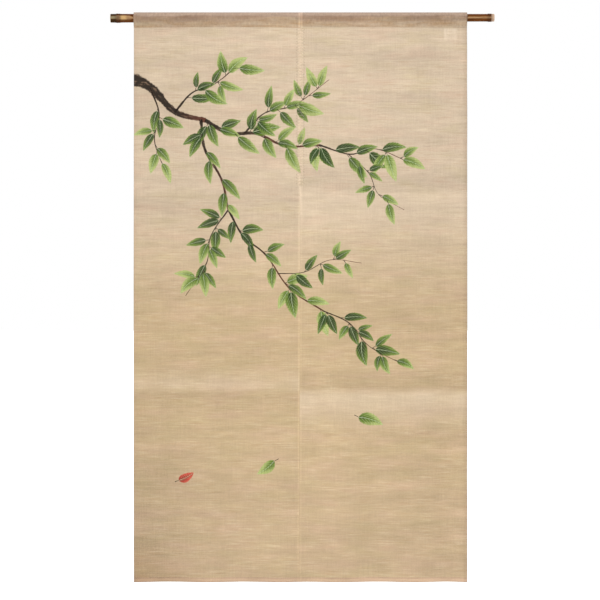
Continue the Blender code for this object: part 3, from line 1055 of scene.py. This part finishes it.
class Paint:
    """A material and the nodes that its colour, roughness and relief are worked out with."""

    def __init__(self, name):
        self.material = bpy.data.materials.new(name)
        self.material.use_nodes = True
        self.tree = self.material.node_tree
        self.shader = self.tree.nodes["Principled BSDF"]

    def feed(self, socket, source):
        if isinstance(source, Value):
            self.tree.links.new(source.socket, socket)
        else:
            socket.default_value = source

    def node(self, kind, sources, **settings):
        """A new node of a kind, with a source for each of the inputs named or numbered."""
        made = self.tree.nodes.new("ShaderNode" + kind)
        for key, value in settings.items():
            setattr(made, key, value)
        for key, source in sources.items():
            self.feed(made.inputs[key], source)
        return made

    def maths(self, operation, *sources):
        return Value(self, self.node("Math", dict(enumerate(sources)), operation=operation).outputs[0])

    def sine(self, angle):
        return self.maths("SINE", angle)

    def fraction(self, value):
        return self.maths("FRACT", value)

    def rise(self, value, low, high):
        """0 below low, 1 above high, smooth between."""
        inputs = {0: value, 1: low, 2: high}
        return Value(self, self.node("MapRange", inputs, interpolation_type="SMOOTHSTEP").outputs[0])

    def fall(self, value, low, high):
        """1 below low, 0 above high, smooth between."""
        return 1.0 - self.rise(value, low, high)

    def band(self, value, low, high, soft):
        """1 between low and high, 0 outside, with soft sides."""
        return self.rise(value, low - soft, low + soft) * self.fall(value, high - soft, high + soft)

    def stored(self, name):
        """The three numbers of a stored vector or colour, and its fourth."""
        made = self.node("Attribute", {}, attribute_name=name)
        split = self.node("SeparateXYZ", {0: Value(self, made.outputs["Vector"])})
        return [Value(self, socket) for socket in (*split.outputs, made.outputs["Alpha"])]

    def position(self):
        return Value(self, self.node("NewGeometry", {}).outputs["Position"])

    def noise(self, at, detail=2.0, roughness=0.5):
        """Cloudy noise from 0 to 1, about 0.5, with features about 1 unit of at across."""
        if isinstance(at, tuple):
            at = Value(self, self.node("CombineXYZ", dict(enumerate(at))).outputs[0])
        inputs = {"Vector": at, "Scale": 1.0, "Detail": detail, "Roughness": roughness}
        return Value(self, self.node("TexNoise", inputs).outputs["Fac"])

    def cloud(self, cloud, x, v, panel):
        at = (x * cloud.across, v * cloud.along, panel + cloud.place)
        return self.noise(at, cloud.detail, cloud.roughness)

    def mix(self, share, a, b):
        """A colour between a and b."""
        made = self.node("Mix", {}, data_type="RGBA", blend_type="MIX")
        for socket, source in ((made.inputs[0], share), (made.inputs[6], a), (made.inputs[7], b)):
            self.feed(socket, source)
        return Value(self, made.outputs[2])

    def tinted(self, colour, *tints):
        """A colour with others laid over it in turn, each given after its share."""
        for share, tint in tints:
            colour = self.mix(share, colour, tint)
        return colour

    def scaled(self, colour, amount):
        """A colour made brighter or darker."""
        made = self.node("VectorMath", {"Scale": amount}, operation="SCALE")
        self.feed(made.inputs[0], colour)
        return Value(self, made.outputs[0])

    def finish(self, colour, roughness, relief=None, depth=0.0, **plain):
        """The material. relief is a height from 0 to 1, and depth is how many metres 1 stands for."""
        self.feed(self.shader.inputs["Base Color"], colour)
        self.feed(self.shader.inputs["Roughness"], roughness)
        if relief is not None:
            bump = self.node("Bump", {"Strength": 1.0, "Distance": depth, "Height": relief})
            self.feed(self.shader.inputs["Normal"], Value(self, bump.outputs[0]))
        for name, value in plain.items():
            self.shader.inputs[name.replace("_", " ")].default_value = value
        return self.material


# the top's paler colour, partly painted light; also the lit colour beside the stored creases
LINEN_TOP_LIT = linear(173, 156, 135)
LINEN_MIDDLE = linear(164, 143, 112)
LINEN_LOW = linear(161, 140, 112)
STREAK_DARK = linear(146, 119, 88)
STREAK_PALE = linear(186, 168, 142)
BLUSH = linear(178, 148, 128)
OLIVE = linear(154, 142, 102)
LAYERS_SHADE = linear(146, 115, 80)
CREASE_SHADE = linear(143, 123, 109)
CANE_SHADE = linear(112, 88, 74)
# painted light from the label behind the cloth
PAINTED_LABEL_LIGHT = linear(204, 188, 168)
LEAF_DARK = linear(26, 48, 10)
LEAF_MID = linear(87, 109, 39)
LEAF_PALE = linear(152, 162, 98)
LEAF_VEIN = linear(176, 188, 150)
TWIG_DARK = linear(22, 14, 10)
TWIG_PALE = linear(112, 90, 72)
TWIG_TIP = linear(96, 48, 34)
RED_DARK = linear(128, 30, 26)
RED_PALE = linear(176, 62, 50)
SEWING_PALE = linear(186, 164, 134)
SEWING_DARK = linear(128, 104, 78)
JOINING_PALE = linear(226, 208, 182)
JOINING_DARK = linear(176, 154, 126)
GOLD_DARK = linear(118, 86, 52)
GOLD_PALE = linear(160, 130, 98)
BROWN_DARK = linear(58, 28, 8)
BROWN_PALE = linear(106, 62, 22)
# painted highlights and shade on the cane's left end
ROSY_HIGHLIGHT = linear(118, 92, 70)
PALE_HIGHLIGHT = linear(172, 142, 96)
TIP_SHADE = linear(34, 24, 6)
TIP_HIGHLIGHT = linear(112, 106, 82)
SCRAPED = linear(176, 150, 128)
NODE_SHADE = linear(30, 16, 8)
PORE = linear(92, 64, 38)
CUT_WALL = linear(186, 158, 116)
HOLLOW = linear(70, 48, 30)
TAPE_DARK = linear(196, 186, 166)
TAPE_PALE = linear(226, 218, 202)
TAPE_EDGE = linear(186, 172, 148)
FLOOR_DARK = (0.88, 0.88, 0.88, 1.0)
FLOOR_PALE = (0.92, 0.92, 0.92, 1.0)
WHITE = (1.0, 1.0, 1.0, 1.0)

THREAD_PITCH = 0.00090
THREAD_WANDER = 1.6
LEAF_TEETH = 11.0
LEAF_VEINS = 7.0

# Noise over the cloth: features to a metre across and along it, its own place, and its detail and roughness
Cloud = namedtuple("Cloud", "across along place detail roughness")
THREADS_LEAN = Cloud(40.0, 9.0, 0.0, 1.0, 0.5)
ROWS_LEAN = Cloud(6.0, 60.0, 7.0, 1.0, 0.5)
WEFT = Cloud(20.0, 360.0, 0.0, 3.0, 0.6)
WARP = Cloud(300.0, 16.0, 3.0, 3.0, 0.6)
BROAD = Cloud(2.6, 24.0, 1.5, 4.0, 0.6)
CLOUDY = Cloud(13.0, 34.0, 5.0, 4.0, 0.6)
BARRED = Cloud(13.0, 120.0, 2.0, 3.0, 0.6)
HUE = Cloud(8.0, 30.0, 15.0, 3.0, 0.5)
GRAIN = Cloud(230.0, 300.0, 21.0, 3.0, 0.6)
SLUBS = Cloud(26.0, 420.0, 9.0, 1.0, 0.5)
LAYERS = Cloud(18.0, 90.0, 11.0, 4.0, 0.65)
LAYER_THREADS = Cloud(170.0, 90.0, 12.0, 4.0, 0.6)
PRESSED = Cloud(9.0, 20.0, 19.0, 3.0, 0.6)
TOUCHING = Cloud(60.0, 60.0, 3.0, 2.0, 0.5)


def weave(p, x, v, panel):
    """Plain weave: its relief from 0 to 1, and the thick and thin threads across and along the cloth."""
    across = p.sine((x / THREAD_PITCH + p.cloud(THREADS_LEAN, x, v, panel) * THREAD_WANDER) * math.pi)
    along = p.sine((v / THREAD_PITCH + p.cloud(ROWS_LEAN, x, v, panel) * THREAD_WANDER) * math.pi)
    turns = across * along * 0.5
    relief = abs(across) * (0.5 + turns) + abs(along) * (0.5 - turns)
    return relief, p.cloud(WEFT, x, v, panel) - 0.5, p.cloud(WARP, x, v, panel) - 0.5


def leaf_green(p, depth):
    pale = p.rise(depth, 0.45, 1.75)
    return p.tinted(LEAF_DARK, (p.rise(pale, 0.0, 0.5), LEAF_MID), (p.rise(pale, 0.45, 1.0), LEAF_PALE))


def leaf_print(p, name, fray, x, weft):
    """One layer of the dyed design: its colour, and how far it covers the cloth."""
    t, u, tone, kind = p.stored(name)
    is_twig = p.rise(kind, 2.0, 2.01)
    is_leaf = p.rise(kind, 0.3, 0.31) * (1.0 - is_twig)
    within = p.maths("MINIMUM", p.maths("MAXIMUM", t, LEAF_SHARES[0]), LEAF_SHARES[1])
    off = abs(u - leaf_midline(within, kind - LEAF))
    out = off / leaf_half_width(within) + p.fraction(t * LEAF_TEETH + off * 3.0) * 0.05
    midrib = p.fall(off, 0.010, 0.030 - 0.018 * t)
    slant = abs(p.fraction(t * LEAF_VEINS - off * 5.2) - 0.5)
    veins = p.fall(slant, 0.030, 0.100) * p.rise(0.94 - out, 0.0, 0.25)
    red = p.mix(p.rise(out + t, 0.3, 1.5), RED_DARK, RED_PALE)
    green = leaf_green(p, leaf_depth(out, t, tone) + fray * 0.6)
    vein_share = p.maths("MAXIMUM", midrib * 0.80, veins * 0.42)
    leaf = p.tinted(green, (p.rise(tone, 1.4, 1.5), red), (vein_share, LEAF_VEIN))
    dry_brush = p.noise((t * 45.0, u * 1.6, tone * 9.0), 4.0, 0.65) + weft * 0.3
    bare_tip = p.rise(t, 0.10, 0.22) * p.rise(x, -0.33, -0.25)
    twig = p.tinted(TWIG_DARK, (p.rise(dry_brush, 0.52, 0.68) * 0.75, TWIG_PALE), (bare_tip * 0.55, TWIG_TIP))
    leaf_cover = p.fall(out + fray, 0.90, 1.06) * is_leaf
    twig_cover = p.fall(abs(u) + fray * 1.6, 0.82, 1.10) * is_twig
    return p.mix(is_twig, leaf, twig), leaf_cover + twig_cover


def dyed_ground(p, x, v, panel, weft, warp, relief):
    """The cloth's colour: a beige that turns darker and yellower downwards, partly its own hue and partly
    painted falloff of the light, with streaks, clouds and slubs, and painted shade in the weave's hollows.
    """
    cloudy = p.cloud(CLOUDY, x, v, panel * 0.2)
    hue = p.cloud(HUE, x, v, panel)
    slub = p.cloud(SLUBS, x, v, panel)
    streaky = p.rise(cloudy, 0.36, 0.62) * 0.26 + 0.16
    ground = p.tinted(
        LINEN_MIDDLE,
        # paler and pinker upwards: partly the cloth's own hue, partly painted light that falls off towards
        # the bottom
        (p.rise(v, 0.66, 1.08), LINEN_TOP_LIT),
        (p.rise(v, 0.45, 0.05), LINEN_LOW),
        (p.rise(weft, -0.02, 0.22) * streaky, STREAK_DARK),
        (p.rise(weft, 0.02, -0.20) * streaky, STREAK_PALE),
        (p.rise(hue, 0.48, 0.70) * 0.24, BLUSH),
        (p.rise(hue, 0.52, 0.30) * 0.20, OLIVE),
    )
    # relief makes the hollows between the threads darker: painted shade
    tone = 0.975 + panel * 0.010 + warp * 0.20 + (relief - 0.6) * 0.12 + (cloudy - 0.5) * 0.26
    for cloud, swing in ((BROAD, 0.34), (BARRED, 0.26), (GRAIN, 0.24)):
        tone = tone + (p.cloud(cloud, x, v, panel) - 0.5) * swing
    return ground, tone - p.rise(slub, 0.64, 0.76) * 0.10 + p.rise(slub, 0.36, 0.24) * 0.08


def stored_crease_shading(p, x, v, panel, ground, tone):
    """Where the curtain lay folded in three: painted light on one side of each crease and painted shade on
    the other, as their slopes face the light or away from it; the sides swap on the right panel.
    """
    wander = (p.noise((x * 5.0, 6.0, panel), 2.0) - 0.5) * 0.016
    patches = p.rise(p.noise((x * 7.0, 4.0, panel + 2.0), 2.0), 0.3, 0.7)
    strength = 0.30 + patches * 0.35 + panel * 0.30
    for drop in STORED_DROPS:
        from_crease = (v - front_v(drop) + wander) * (1.0 - panel * 2.0)
        # painted light on one side of the crease and painted shade on the other, swapped on the right panel
        paler = p.rise(from_crease, -0.014, 0.018) * p.fall(from_crease, 0.010, 0.075 + panel * 0.055)
        shaded_side = p.rise(from_crease, -0.070, -0.024) * p.fall(from_crease, -0.020, 0.008)
        ground = p.mix(paler * strength * 0.8, ground, LINEN_TOP_LIT)
        tone = tone + (paler * 0.09 - shaded_side * 0.12) * strength
    return ground, tone


def doubled(p, x, v, panel, ground, tone):
    """Painted shade where the cloth lies double, in the pocket and the hem, which is also pinker, the cane's
    painted shadow where it shows through the pocket, painted shade over the crease and along the seam and
    folds, and painted highlight in patches on the hem.
    """
    seam_v = V_SEAM + seam_line(x, panel, p.sine)
    pocket = p.rise(v, seam_v - 0.0006, seam_v + 0.0010)
    hem = p.fall(v, V_HEM - 0.0010, V_HEM + 0.0004)
    uneven_layers = p.cloud(LAYERS, x, v, panel)
    from_crease = abs(v - V_CREASE) + (uneven_layers - 0.5) * 0.010
    touches, leaves = V_CREASE - CANE_V_HIGH, V_CREASE - CANE_V_LOW
    # painted shade over the crease, and the cane's painted shadow where it shows through the pocket's front
    above_cane = p.fall(from_crease, touches, touches + 0.004)
    on_cane = p.rise(from_crease, touches - 0.0030, touches + 0.0030)
    on_cane = on_cane * p.fall(from_crease, leaves - 0.0020, leaves + 0.0200)
    # patches where the cane's painted shadow is darker
    pressed = p.rise(p.cloud(PRESSED, x, v, panel), 0.28, 0.68)
    ground = p.tinted(
        ground,
        # painted shade of the doubled pocket and hem, then over the crease, and the cane's painted shadow
        (pocket * (0.10 + p.rise(uneven_layers, 0.25, 0.75) * 0.62), LAYERS_SHADE),
        (hem * 0.10, LAYERS_SHADE),
        (hem * 0.45, BLUSH),
        (above_cane * pocket * 0.80, CREASE_SHADE),
        (on_cane * pocket * (0.26 + pressed * 0.58), CANE_SHADE),
    )
    # painted shade lines along the seam, below the hem's top and at the bottom fold
    lines = p.band(v, seam_v - 0.0006, seam_v + 0.0014, 0.0006) * 0.06
    lines = lines + p.band(v, V_HEM - 0.0032, V_HEM - 0.0010, 0.0008) * 0.20
    lines = lines + p.fall(v, 0.0008, 0.0032) * 0.22
    # the pocket's painted shade, darker overall and uneven in small patches
    pocket_tone = (p.cloud(LAYER_THREADS, x, v, panel) - 0.5) * 0.60 - 0.035
    # painted highlight in patches where the hem catches the light
    hem_highlight = p.rise(p.noise((x * 7.0, 3.0, panel), 3.0), 0.42, 0.66)
    return ground, tone - lines + pocket * pocket_tone + hem * hem_highlight * 0.10


def selvedges(p, v, panel, ground, tone):
    """Firmer, paler cloth along the slit and paler towards the middle, painted light and shade at the slit's
    edges, painted shade in the gap between the pockets, the ladder stitch's painted shadows and needle holes,
    the darker outer threads, and darker, warmer cloth towards the left panel's lower outer corner.
    """
    from_outside, from_slit, _, _ = p.stored("edges")
    pocket = p.rise(v, V_SEAM - 0.001, V_SEAM + 0.001)
    along_slit = p.fall(from_slit, 0.0040, 0.0068)
    parted = p.rise(v, front_v(SEAM_DROP + 0.01), front_v(SEAM_DROP + 0.12))
    # where the panels are stitched, a narrow strip along the slit's edge is painted paler against the slit's
    # shadow
    painted_slit_light = p.fall(from_slit, 0.0008, 0.0026) * (1.0 - pocket) * (1.0 - parted)
    beat = abs(p.fraction((front_v(JOIN_TOP) - v) / JOIN_PITCH + 0.5) - 0.5)
    stitched = p.band(v, front_v(SEAM_DROP + 0.002), front_v(JOIN_TOP - 0.004), 0.001)
    bites = p.band(from_slit, JOIN_HALF_WIDTH - 0.0016, JOIN_HALF_WIDTH + 0.0014, 0.0008) * stitched
    between = p.fall(from_slit, JOIN_HALF_WIDTH - 0.001, JOIN_HALF_WIDTH) * stitched
    low = p.rise(v, 0.55, 0.25) * (1.0 - panel)
    corner = low * p.fall(from_outside + v * 1.4, 0.02, 0.24)
    paler = (
        along_slit * (0.12 + pocket * 0.20),
        # painted light and shade at the slit's edges: where parted, lighter on the left edge and darker on
        # the right, against the shading of their lap
        along_slit * parted * (0.02 - panel * 0.08),
        painted_slit_light * (0.22 - panel * 0.18),
        between * p.rise(beat, 0.30, 0.45) * 0.04,
        p.fall(from_slit, 0.0, 0.40) * 0.06,
    )
    darker = (
        # painted shade in the gap between the two pockets
        p.fall(from_slit, 0.0002, 0.0010) * pocket * 0.25,
        # painted shade in the needle holes at the bars' ends
        bites * p.fall(beat, 0.12, 0.24) * 0.42,
        # painted shadows along the ladder's bars
        between * p.band(beat, 0.12, 0.26, 0.05) * 0.10,
        p.fall(from_outside, 0.0, 0.016) * (0.05 + panel * 0.08),
        p.fall(from_outside, 0.0004, 0.0022) * 0.08,
        low * p.fall(from_outside, 0.02, 0.26) * 0.09,
        corner * 0.05,
    )
    firm_edge = p.band(from_outside, 0.0030, 0.0060, 0.0012)
    ground = p.tinted(ground, (firm_edge * 0.20, BLUSH), (corner * 0.30, LAYERS_SHADE))
    return ground, tone + sum(paler) - sum(darker) - 0.03


def painted_label_light(p, x, v, ground):
    """Painted light from the label behind, which shows through the cloth as a pale square, plainest along its
    left side and its top.
    """
    top = V_SEAM - TURN_UNDER
    square = p.band(x, TAG_LEFT_X, TAG_LEFT_X + TAG_WIDTH, 0.0045)
    square = square * p.band(v, top - TAG_DROP, top - 0.001, 0.0045)
    sides = p.band(x, TAG_LEFT_X - 0.0014, TAG_LEFT_X + 0.0046, 0.0018) + p.band(v, top - 0.006, top, 0.0020)
    touching = p.rise(p.cloud(TOUCHING, x, v, 0.0), 0.35, 0.65)
    return p.mix(square * (0.12 + touching * 0.14 + sides * 0.16), ground, PAINTED_LABEL_LIGHT)


def linen(name, strength):
    """Hand-woven hemp. strength is how well the dye of the design took on this side."""
    p = Paint(name)
    x, v, panel, _ = p.stored("flat")
    relief, weft, warp = weave(p, x, v, panel)
    ground, tone = dyed_ground(p, x, v, panel, weft, warp, relief)
    ground, tone = stored_crease_shading(p, x, v, panel, ground, tone)
    ground, tone = doubled(p, x, v, panel, ground, tone)
    ground, tone = selvedges(p, v, panel, ground, tone)
    colour = p.scaled(painted_label_light(p, x, v, ground), tone)
    fray = weft * 0.34 + warp * 0.30 + (relief - 0.6) * 0.10
    taken = 0.72 + relief * 0.26 + weft * 0.7 + warp * 0.4
    for layer in ("print_below", "print_top"):
        dye, cover = leaf_print(p, layer, fray, x, weft)
        colour = p.mix(cover * strength, colour, p.scaled(dye, taken))
    height_map = relief + weft * 1.8 + warp * 1.2
    gloss = {"Sheen_Weight": 0.04, "Sheen_Roughness": 0.5, "Specular_IOR_Level": 0.10}
    return p.finish(colour, 0.92, height_map, 0.00022, **gloss)


def thread_paint(name, light, dark):
    """Twisted sewing thread, with painted shade in the twist's grooves, and the design's dye on it."""
    p = Paint(name)
    along, round_angle, _, _ = p.stored("spiral")
    cover, depth, is_twig, _ = p.stored("dyed")
    # the twist's grooves are painted darker: painted shade
    twist = p.sine(along * 5200.0 + round_angle * 2.0) * 0.5 + 0.5
    fuzz = p.noise((along * 900.0, round_angle, 0.0), 3.0)
    dye = p.scaled(p.mix(is_twig, leaf_green(p, depth), TWIG_PALE), twist * 0.3 + 0.85)
    colour = p.tinted(dark, (twist * 0.55 + fuzz * 0.35, light), (cover * 0.72, dye))
    return p.finish(colour, 0.78, twist + fuzz * 0.6, 0.00012, Sheen_Weight=0.15, Specular_IOR_Level=0.3)


def cane_paint():
    """Smoked bamboo: dark brown, with a painted highlight along its middle height that is gold in stained
    patches and rosy and pale near the left end, painted grey highlight and dark shade at the left tip, and
    darker rings at its nodes.
    """
    p = Paint("smoked_bamboo")
    x, up, out, _ = p.stored("round")
    node = p.stored("node")[0]
    fibre = p.noise((x * 22.0, up * 13.0, out * 13.0), 4.0, 0.6)
    stain = p.noise((x * 34.0, up * 1.2, out * 1.2 + 4.0), 3.0, 0.55)
    fine = p.noise((x * 60.0, up * 60.0, out * 60.0))
    left_end = p.rise(x, -0.440, -0.450)
    reach = left_end * 0.28 + 0.26
    # painted highlight along the cane's middle height, wider towards the left end
    front = p.fall(abs(up + 0.08 - left_end * 0.08), reach * 0.3, reach * 1.3)
    # the left tip: painted grey highlight along its middle, painted shade above and below
    left_tip = p.rise(x, -0.479, -0.488)
    lit_middle = p.fall(abs(up - 0.04), 0.08, 0.42)
    gold = p.mix(p.rise(fibre, 0.38, 0.64), GOLD_DARK, GOLD_PALE)
    brown = p.mix(p.rise(fibre, 0.40, 0.68), BROWN_DARK, BROWN_PALE)
    colour = p.tinted(
        brown,
        # gold where stained patches meet the painted highlight, rosy and pale painted highlight near the left
        # end, and painted highlight and shade at the left tip
        (front * p.rise(stain * 0.75 + fibre * 0.35, 0.30, 0.55), gold),
        (p.band(x, -0.483, -0.476, 0.003) * front * 0.75, ROSY_HIGHLIGHT),
        (p.band(x, -0.473, -0.458, 0.004) * front * (0.50 + fibre * 0.5), PALE_HIGHLIGHT),
        (left_tip * (1.0 - lit_middle) * 0.8, TIP_SHADE),
        (left_tip * lit_middle * 0.85, TIP_HIGHLIGHT),
        (p.rise(x, 0.5000, 0.5035) * 0.80, SCRAPED),
        (p.rise(node, 0.35, 0.95) * 0.40, NODE_SHADE),
    )
    roughness = p.rise(stain, 0.3, 0.7) * 0.16 + 0.46 + fine * 0.14
    colour = p.scaled(colour, fine * 0.5 + 0.75)
    return p.finish(colour, roughness, fibre * 0.5 + fine * 0.5, 0.00012, Specular_IOR_Level=0.03)


def cut_paint():
    """The cane's sawn ends: a pale wall with dark pores, and brown inside the hollow."""
    p = Paint("sawn_bamboo")
    x, up, out, _ = p.stored("round")
    pores = p.node("TexVoronoi", {"Scale": 1500.0, "Vector": p.position()}, feature="F1")
    solid = p.rise(Value(p, pores.outputs["Distance"]), 0.18, 0.42)
    grain = p.noise((x * 900.0, up * 20.0, out * 20.0), 3.0)
    from_middle = abs(x - 0.5 * (ROD_LEFT_X + ROD_RIGHT_X))
    wall = p.mix(solid, PORE, CUT_WALL)
    colour = p.scaled(p.mix(p.rise(from_middle, 0.5037, 0.5048), HOLLOW, wall), 0.75 + grain * 0.5)
    return p.finish(colour, 0.82, solid + grain * 0.6, 0.00015, Specular_IOR_Level=0.3)


def label_paint(name, light):
    """Blank woven tape: fine diagonal twill with firmer sides, painted darker in the grooves of its twill and
    ribs as shade. light scales its colour, and is lower for the painted shade of the inner faces.
    """
    p = Paint(name)
    x, v, _, _ = p.stored("flat")
    twill = p.sine((x + v) * (2.0 * math.pi / 0.00075)) * 0.5 + 0.5
    rib = p.sine(v * (2.0 * math.pi / 0.00052)) * 0.5 + 0.5
    dust = p.noise((x * 90.0, v * 90.0, 1.0), 4.0)
    half = 0.5 * TAG_WIDTH
    side = p.rise(abs(x - (TAG_LEFT_X + half)), half - 0.0022, half - 0.0016)
    # the grooves of the twill and ribs are painted darker: painted shade
    colour = p.tinted(TAPE_DARK, (twill * 0.5 + rib * 0.2, TAPE_PALE), (side * 0.35, TAPE_EDGE))
    colour = p.scaled(colour, (0.80 + dust * 0.34) * light)
    return p.finish(colour, 0.70, twill * (1.0 - side) + rib * (0.3 + side), 0.00012, Sheen_Weight=0.2)


def floor_paint():
    p = Paint("studio_floor")
    colour = p.mix(p.noise(p.position(), 4.0), FLOOR_DARK, FLOOR_PALE)
    return p.finish(colour, 0.9, Specular_IOR_Level=0.1)


# The object

marks = spray()
good_side = linen("hemp_good_side", 0.96)
wrong_side = linen("hemp_wrong_side", 0.42)
sewing_thread = thread_paint("sewing_thread", SEWING_PALE, SEWING_DARK)
joining_thread = thread_paint("joining_thread", JOINING_PALE, JOINING_DARK)

left_panel = cloth_panel("left", marks, [good_side, wrong_side])
right_panel = cloth_panel("right", marks, [good_side, wrong_side])
seam = threads("seam_stitches", seam_stitches(), SEWING_RADIUS, sewing_thread)
hem = threads("hem_stitches", hem_stitches(), SEWING_RADIUS, sewing_thread)
joining = threads("joining_stitches", joining_stitches(), JOINING_RADIUS, joining_thread)
tacks = threads("bar_tacks", bar_tacks(), SEWING_RADIUS, joining_thread)
dye_threads(joining, marks)
dye_threads(tacks, marks)
# the label's inner faces are painted darker, as shade
label, label_length = tag([label_paint("label_tape", 1.0), label_paint("label_tape_inside_shaded", 0.9)])
label_stitches = threads("label_stitches", tag_stitches(), SEWING_RADIUS, sewing_thread)
bamboo = cane(cane_paint(), cut_paint())

sewing = [seam, hem, joining, tacks]
slots = {"hemp": [left_panel, right_panel, *sewing], "tag": [label, label_stitches], "bamboo": [bamboo]}
for slot, pieces in slots.items():
    for piece in pieces:
        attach(piece, "root")
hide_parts("panel_left")
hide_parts("panel_right")
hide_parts("back_tag")
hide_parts("rod")


# The studio

FLOOR_SIZE = 60.0


def floor():
    mesh = bpy.data.meshes.new("floor")
    corners = [(x * FLOOR_SIZE, y * FLOOR_SIZE, FLOOR_Z) for x, y in ((-1, -1), (1, -1), (1, 1), (-1, 1))]
    mesh.from_pydata(corners, [], [(0, 1, 2, 3)])
    mesh.materials.append(floor_paint())
    add_object("floor", mesh)


def camera():
    data = bpy.data.cameras.new("camera")
    data.lens = LENS_MM
    data.sensor_width = SENSOR_MM
    away = PIXELS * METRES_PER_PIXEL * LENS_MM / SENSOR_MM
    made = add_object("camera", data)
    made.location = (VIEW_CENTRE_X, -away, VIEW_CENTRE_Z)
    made.rotation_euler = (math.radians(90.0), 0.0, 0.0)
    bpy.context.scene.camera = made


def sun(name, energy, angle, toward):
    data = bpy.data.lights.new(name, "SUN")
    data.energy = energy
    data.angle = math.radians(angle)
    add_object(name, data).rotation_euler = Vector(toward).to_track_quat("-Z", "Y").to_euler()


def lights():
    """Even white surroundings, a wide soft light from above the front, and a weaker one from behind."""
    world = bpy.data.worlds.new("studio")
    world.use_nodes = True
    background = world.node_tree.nodes["Background"]
    background.inputs["Color"].default_value = WHITE
    background.inputs["Strength"].default_value = 1.0
    bpy.context.scene.world = world
    sun("key", 2.4, 35.0, (0.35, 1.0, -1.15))
    sun("fill", 1.3, 50.0, (-0.30, -1.0, -1.0))


floor()
camera()
lights()
bpy.context.scene.view_settings.view_transform = "Standard"
